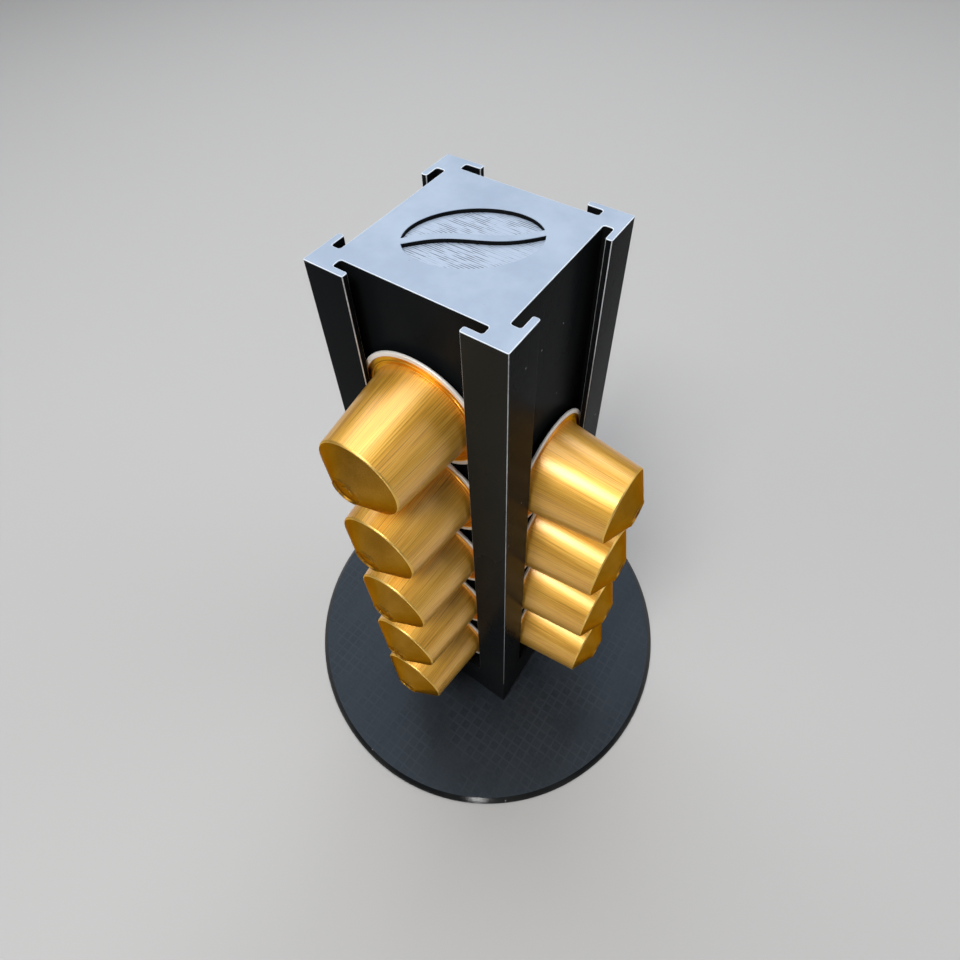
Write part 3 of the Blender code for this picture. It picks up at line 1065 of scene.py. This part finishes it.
@dataclass
class Fixings:
    """What holds and carries the base from below: four countersunk screws and four rubber pads.

    Their sizes are in millimetres.
    """

    head_bottom: float = 0.5
    head_radius: float = 2.9
    head_margin: float = 0.5
    head_round: float = 0.12
    head_height: float = 1.7
    shank_radius: float = 1.5
    shank_round: float = 0.3
    length: float = 14.0
    screw_steps: int = 3
    socket_radius: float = 1.2
    socket_depth: float = 1.0
    socket_sides: int = 6
    pad_radius: float = 7.0
    pad_height: float = 1.2
    pad_foot_round: float = 0.4
    pad_head_round: float = 0.2
    pad_steps: int = 4
    sides: int = 48

    def screw(self, name: str, spot: Pair, material: Material) -> Piece:
        """One screw: its turned head and shank, with a six-sided socket in the head.

        Args:
            name: The piece's name.
            spot: Where its axis stands, in metres.
            material: Its finish.

        Returns:
            The piece.
        """
        tip = self.head_bottom + self.length
        section = rounded([
            (self.head_radius - self.head_margin, self.head_bottom, 0.0),
            (self.head_radius, self.head_bottom, self.head_round),
            (self.shank_radius, self.head_bottom + self.head_height, self.shank_round),
            (self.shank_radius, tip - self.shank_radius, self.shank_round),
            (0.0, tip, 0.0),
        ], self.screw_steps)
        socket_top = self.head_bottom + self.socket_depth
        hexagon = barrel(self.socket_radius, self.head_bottom, socket_top, self.socket_sides) * MM
        body, socket = (grid + (*spot, 0.0) for grid in (turned(section, self.sides), hexagon))
        shell = Shell()
        shell.lay(body)
        shell.lay(socket)
        shell.cap([socket[1]])
        shell.cap([body[0], socket[0]])
        return shell.finish(name, [material])

    def pad(self, name: str, spot: Pair, material: Material) -> Piece:
        """One rubber pad, turned, with soft edges."""
        section = rounded([
            (0.0, 0.0, 0.0),
            (self.pad_radius, 0.0, self.pad_foot_round),
            (self.pad_radius, self.pad_height, self.pad_head_round),
            (0.0, self.pad_height, 0.0),
        ], self.pad_steps)
        return turned_piece(name, turned(section, self.sides) + (*spot, 0.0), material)

    def build(self, steel: Material, rubber: Material) -> None:
        """Builds the screws and the pads."""
        for corner, spot in corner_spots(SCREW_PLACE).items():
            piece = self.screw(f"screw_{corner}", spot, steel)
            settle(piece, "tower", Slot.STEEL, f"base_screw_{corner}")
        for corner, spot in corner_spots(PAD_PLACE).items():
            piece = self.pad(f"pad_{corner}", spot, rubber)
            settle(piece, "tower", Slot.RUBBER, f"foot_pad_{corner}")


@dataclass
class Capsule:
    """One capsule: a turned gold cup with a rolled silver rim, its foil lid and the coffee inside.

    Its own frame has the rim's back in the plane z = 0 and the nose towards +Z. Its sizes are in
    millimetres.
    """

    finishes: tuple[Material, ...]
    foil: Material
    coffee: Material
    body_radius: float = 14.55
    shoulder_radius: float = 11.9
    shoulder_height: float = 24.4
    shoulder_round: float = 0.7
    nose_height: float = 28.8
    dimple_radius: float = 3.9
    dimple_slope: float = 0.35
    dimple_depth: float = 0.6
    dimple_round: float = 0.12
    bead_width: float = 0.5
    bead_height: float = 0.16
    button_radius: float = 1.5
    button_slope: float = 0.3
    button_height: float = 0.3
    pressed_round: float = 0.1
    web_height: float = 0.62
    web_radius: float = 17.05
    web_foot_round: float = 0.12
    web_end_round: float = 0.08
    step_radius: float = 15.35
    step_width: float = 0.55
    step_slope: float = 0.18
    step_foot_round: float = 0.05
    step_top_round: float = 0.06
    rim_radius: float = 18.5
    rim_thickness: float = 0.8
    rim_front: float = 17.25
    rim_inner: float = 17.7
    rim_round: float = 0.3
    rim_end_round: float = 0.1
    sheet_back: float = 0.5
    metal: float = 0.4
    inner_foot_round: float = 0.15
    inner_shoulder_round: float = 0.5
    lid_radius: float = 17.4
    lid_thickness: float = 0.2
    lid_edge_round: float = 0.03
    press_start: float = 1.2
    press_slope: float = 0.4
    press_width: float = 0.6
    press_height: float = 0.06
    press_foot_round: float = 0.3
    press_top_round: float = 0.2
    sides: int = 120
    steps: int = 5
    lid_steps: int = 3
    streak_shift: float = 1.0

    def bead_drop(self) -> float:
        """How far the nose's cone falls across the dimple's bead, and the bead's own height."""
        fall = (self.nose_height - self.shoulder_height) / (self.shoulder_radius - self.dimple_radius)
        return fall * self.bead_width + self.bead_height

    def section(self) -> tuple[Array, list[tuple[Zone, int, int]]]:
        """The cup's section, from the nose's middle over the rim to the middle of the inside.

        Returns:
            The (r, z) points, and each zone with the places of its first and last point.
        """
        floor = self.nose_height - self.dimple_depth
        dimple_floor = self.dimple_radius - self.dimple_slope
        step_end = self.step_radius + self.step_width
        inner_shoulder = self.shoulder_height - self.metal / 2
        nose = [
            (0.0, floor + self.button_height, 0.0),
            (self.button_radius, floor + self.button_height, self.pressed_round),
            (self.button_radius + self.button_slope, floor, self.pressed_round),
            (dimple_floor, floor, self.pressed_round),
            (self.dimple_radius, self.nose_height, self.dimple_round),
            (self.dimple_radius + self.bead_width, self.nose_height - self.bead_drop(), self.pressed_round),
        ]
        wall = [
            (self.shoulder_radius, self.shoulder_height, self.shoulder_round),
            (self.body_radius, self.web_height, self.web_foot_round),
        ]
        web = [
            (self.step_radius, self.web_height, self.step_foot_round),
            (self.step_radius + self.step_slope, self.rim_thickness, self.step_top_round),
            (step_end, self.rim_thickness, self.step_top_round),
            (step_end + self.step_slope, self.web_height, self.step_foot_round),
            (self.web_radius, self.web_height, self.web_end_round),
        ]
        roll = [
            (self.rim_front, self.rim_thickness, self.rim_end_round),
            (self.rim_radius, self.rim_thickness, self.rim_round),
            (self.rim_radius, 0.0, self.rim_round),
            (self.rim_inner, 0.0, self.rim_end_round),
            (self.rim_inner, self.sheet_back, self.step_foot_round),
        ]
        inside = [
            (self.body_radius - self.metal, self.sheet_back, self.inner_foot_round),
            (self.shoulder_radius - self.metal, inner_shoulder, self.inner_shoulder_round),
            (dimple_floor, floor - self.metal, self.pressed_round),
            (0.0, floor - self.metal, 0.0),
        ]
        points = rounded([*nose, *wall, *web, *roll, *inside], self.steps)
        row = self.steps + 1
        shoulder = len(nose) * row
        wall_end = shoulder + len(wall) * row - 1
        web_end = wall_end + 1 + len(web) * row
        roll_end = web_end + len(roll) * row - 1
        marks = (0, shoulder, shoulder + row - 1, wall_end, web_end, roll_end, len(points) - 1)
        order = (Zone.NOSE, Zone.SHOULDER, Zone.WALL, Zone.WEB, Zone.ROLL, Zone.INSIDE)
        return points, list(zip(order, marks, marks[1:]))

    def cup(self, name: str, place: Matrix, seed: int) -> Piece:
        """The cup, turned from its section: nose, wall, web, rolled rim and the plain inside.

        Args:
            name: The piece's name.
            place: The capsule's own frame in the object's.
            seed: What sets this cup's streaks apart from its neighbours'.

        Returns:
            The piece.
        """
        points, zones = self.section()
        grid = turned(points, self.sides)
        shift = np.random.default_rng(seed).uniform(-self.streak_shift, self.streak_shift)
        length = np.concatenate([[0.0], np.linalg.norm(np.diff(points, axis=0), axis=1).cumsum()])
        circle = turned(np.array([(self.body_radius, 0.0)]) * MM, self.sides)
        own = np.broadcast_to(circle, grid.shape).copy()
        own[..., 2] = length[:, None] + shift
        grid = placed(grid, place)
        shell = Shell()
        for zone, first, last in zones:
            shell.lay(grid[first:last + 1], zone, own[first:last + 1])
        return shell.finish(name, self.finishes)

    def lid(self, name: str, place: Matrix) -> Piece:
        """The foil lid, turned, with a shallow pressed ring near its edge."""
        start = self.body_radius - self.press_start
        end = start + 2 * self.press_slope + self.press_width
        section = rounded([
            (0.0, 0.0, 0.0),
            (start, 0.0, self.press_foot_round),
            (start + self.press_slope, self.press_height, self.press_top_round),
            (end - self.press_slope, self.press_height, self.press_top_round),
            (end, 0.0, self.press_foot_round),
            (self.lid_radius, 0.0, self.lid_edge_round),
            (self.lid_radius, self.lid_thickness, self.lid_edge_round),
            (0.0, self.lid_thickness, 0.0),
        ], self.lid_steps)
        return turned_piece(name, placed(turned(section, self.sides), place), self.foil)

    def build(self, name: str, place: Matrix, seed: int) -> None:
        """Builds one capsule and lets it ride on its own body."""
        settle(self.cup(f"{name}_gold_cup", place, seed), name, Slot.GOLD, f"{name}_cup")
        settle(self.lid(f"{name}_foil_lid", place), name, Slot.FOIL, f"{name}_lid")
        dress(f"{name}_coffee", self.coffee)


@dataclass
class Columns:
    """The capsules in their channels: each leans a little, so that the rims overlap like tiles."""

    capsule: Capsule
    lean: float = radians(1.813)
    rim_place: float = 23.771 * MM
    first_height: float = 41.616 * MM
    pitch: float = 33.189 * MM
    seed_step: int = 10

    def place(self, side: Side, number: int) -> Matrix:
        """A capsule's own frame: its rim against the channel's back, its nose out and a little down.

        Args:
            side: The channel.
            number: The capsule's number from the sill up, from 1.

        Returns:
            The frame in the object's.
        """
        height = self.first_height + (number - 1) * self.pitch
        outward = Matrix.Rotation(side.value[1] * pi / 2, 4, "Z")
        dip = Matrix.Rotation(pi / 2 + self.lean, 4, "X")
        return outward @ Matrix.Translation((0, -self.rim_place, height)) @ dip

    def build(self) -> None:
        """Builds every capsule."""
        for side in Side:
            column, quarter, count = side.value
            for number in range(1, count + 1):
                seed = self.seed_step * quarter + number
                self.capsule.build(f"{column}_capsule_{number}", self.place(side, number), seed)


@dataclass(frozen=True)
class SoftBox:
    """A square soft lamp that faces a point on the object."""

    name: str
    place: Triple
    size: float
    watts: float
    colour: Colour = (1.0, 1.0, 1.0)
    target: Triple = (0.0, 0.0, 0.11)

    def make(self) -> None:
        """Hangs the lamp."""
        light = bpy.data.lights.new(self.name, "AREA")
        light.shape = "SQUARE"
        light.size = self.size
        light.energy = self.watts
        light.color = self.colour
        way = Vector(self.target) - Vector(self.place)
        turn = way.to_track_quat("-Z", "Y").to_matrix().to_4x4()
        put(self.name, light).matrix_world = Matrix.Translation(self.place) @ turn


@dataclass
class Studio:
    """The plain pale floor, the lamps, the surrounding light and the photograph's camera."""

    floor_radius: float = 4.0
    floor_sides: int = 96
    floor_colour: Colour = (0.47, 0.47, 0.47)
    floor_roughness: float = 0.85
    floor_shine: float = 0.1
    air_colour: Colour = (0.96, 0.98, 1.0)
    air_level: float = 0.14
    lamps: tuple[SoftBox, ...] = (
        SoftBox("key", (0.02, -0.52, 1.00), 0.30, 6.0, (1.0, 0.98, 0.95)),
        SoftBox("ceiling", (-0.14, 0.14, 1.70), 0.75, 5.0, (0.97, 0.98, 1.0)),
        SoftBox("overhead", (-0.15, 0.95, 1.20), 0.60, 4.6, (0.97, 0.98, 1.0)),
        SoftBox("back left", (-0.62, 0.40, 1.05), 0.80, 5.6, (0.97, 0.98, 1.0)),
        SoftBox("back right", (0.95, 0.70, 0.80), 1.00, 4.2),
        SoftBox("front left", (-0.45, -0.90, 0.90), 0.80, 2.1),
        SoftBox("front", (0.56, -0.99, 0.22), 0.10, 0.8),
    )
    camera_place: Triple = (0.07302, -0.10017, 0.29800)
    azimuth: float = radians(36.59)
    elevation: float = radians(48.31)
    roll: float = radians(-2.40)
    focal: float = 652.4
    middle: Pair = (474.9, 391.0)
    image: int = 960
    sensor: float = 36.0
    near: float = 10 * MM

    def floor(self) -> None:
        """Lays the floor: a flat disc under the object, which isn't part of it."""
        edge = turned(np.array([(self.floor_radius, 0.0)]), self.floor_sides)[0]
        mesh = bpy.data.meshes.new("stage_floor")
        mesh.from_pydata(edge, [], [list(range(self.floor_sides))])
        mesh.materials.append(Graph("floor").shade(
            Base_Color=self.floor_colour,
            Roughness=self.floor_roughness,
            Specular_IOR_Level=self.floor_shine,
        ))
        floor = put("stage_floor", mesh)

    def air(self) -> None:
        """Fills the surroundings with even pale light."""
        world = bpy.data.worlds.new("studio")
        world.use_nodes = True
        background = world.node_tree.nodes["Background"]
        background.inputs["Color"].default_value = (*self.air_colour, 1.0)
        background.inputs["Strength"].default_value = self.air_level
        bpy.context.scene.world = world

    def camera(self) -> None:
        """Sets the camera up as it stood for the photograph.

        Its back axis is (sin a cos e, -cos a cos e, sin e) for azimuth a and elevation e. The two
        other axes are level and upright, turned about it by the roll.
        """
        a, e = self.azimuth, self.elevation
        back = Vector((sin(a) * cos(e), -cos(a) * cos(e), sin(e)))
        right = Vector((0, 0, 1)).cross(back).normalized()
        up = back.cross(right)
        x_axis = cos(self.roll) * right + sin(self.roll) * up
        y_axis = -sin(self.roll) * right + cos(self.roll) * up
        lens = bpy.data.cameras.new("photograph")
        lens.sensor_width = self.sensor
        lens.lens = self.focal * self.sensor / self.image
        lens.shift_x = (self.image / 2 - self.middle[0]) / self.image
        lens.shift_y = (self.middle[1] - self.image / 2) / self.image
        lens.clip_start = self.near
        camera = put("photograph", lens)
        turn = Matrix((x_axis, y_axis, back)).transposed().to_4x4()
        camera.matrix_world = Matrix.Translation(self.camera_place) @ turn
        bpy.context.scene.camera = camera

    def build(self) -> None:
        """Sets up the whole studio."""
        bpy.context.scene.view_settings.view_transform = "Standard"
        self.floor()
        self.air()
        self.camera()
        for lamp in self.lamps:
            lamp.make()


def main() -> None:
    """Builds and dresses the dispenser and its studio."""
    logging.basicConfig(level=logging.INFO, format="%(message)s")
    Studio().build()
    black = BlackPrint().make()
    # A painted highlight for the upright edges of the tower and the top.
    wear_and_highlight = EdgeHighlight().make()
    Tower().build(black, wear_and_highlight)
    # The top's rounded edge is painted far paler than the top, as a painted highlight.
    rim = PalePrint("painted rim highlight", (0.62, 0.70, 0.82), (0.80, 0.86, 0.94), roughness=(0.30, 0.40))
    TopPlate().build([PalePrint().make(), black, RecessFloor().make(), wear_and_highlight, rim.make()])
    edge = BlackPrint("edge print", (0.0030, 0.0034, 0.0040), roughness=(0.10, 0.16), shine=0.50)
    BaseDisc().build(BasePrint().make(), edge.make())
    steel = BareMetal(
        "steel", (0.50, 0.50, 0.51), (0.62, 0.62, 0.63),
        roughness=(0.24, 0.36), crinkle=Noise(900.0, 3.0, 0.6), depth=0.004 * MM,
    )
    rubber = Grains(
        "rubber", (0.012, 0.012, 0.013), (0.022, 0.022, 0.023),
        roughness=(0.75, 0.90), size=0.4 * MM, depth=0.02 * MM, tone=Noise(1000.0, 4.0, 0.6),
    )
    Fixings().build(steel.make(), rubber.make())
    # The nose's dark gold is partly its own duller grain and partly painted shade.
    nose = GrainedGold("nose gold", (0.35, 0.166, 0.019), (0.46, 0.233, 0.035))
    web = GrainedGold("web gold", (0.90, 0.44, 0.045), (0.98, 0.56, 0.09), roughness=(0.28, 0.36))
    roll = BareMetal(
        "rolled rim", (0.88, 0.85, 0.81), (0.96, 0.94, 0.91),
        roughness=(0.36, 0.46), crinkle=Noise(500.0, 3.0, 0.6), depth=0.01 * MM, metal=0.30,
    )
    # The shoulder's light gold is a painted highlight along its rounded edge.
    shoulder = GrainedGold(
        "shoulder painted highlight", (0.92, 0.56, 0.13), (0.98, 0.68, 0.22),
        roughness=(0.40, 0.48), edge=(1.0, 0.7, 0.3),
    )
    # The cup's finishes stand in the order of Zone.
    finishes = (BrushedGold(), nose, web, roll, BareMetal("cup inside"), shoulder)
    cup = tuple(finish.make() for finish in finishes)
    ground = Grains(
        "ground coffee", (0.020, 0.009, 0.004), (0.085, 0.042, 0.020),
        roughness=(0.80, 0.95), size=0.5 * MM, depth=0.2 * MM, tone=Noise(800.0, 4.0, 0.6),
    )
    Columns(Capsule(cup, BareMetal("lid foil").make(), ground.make())).build()


if __name__ == "__main__":
    main()
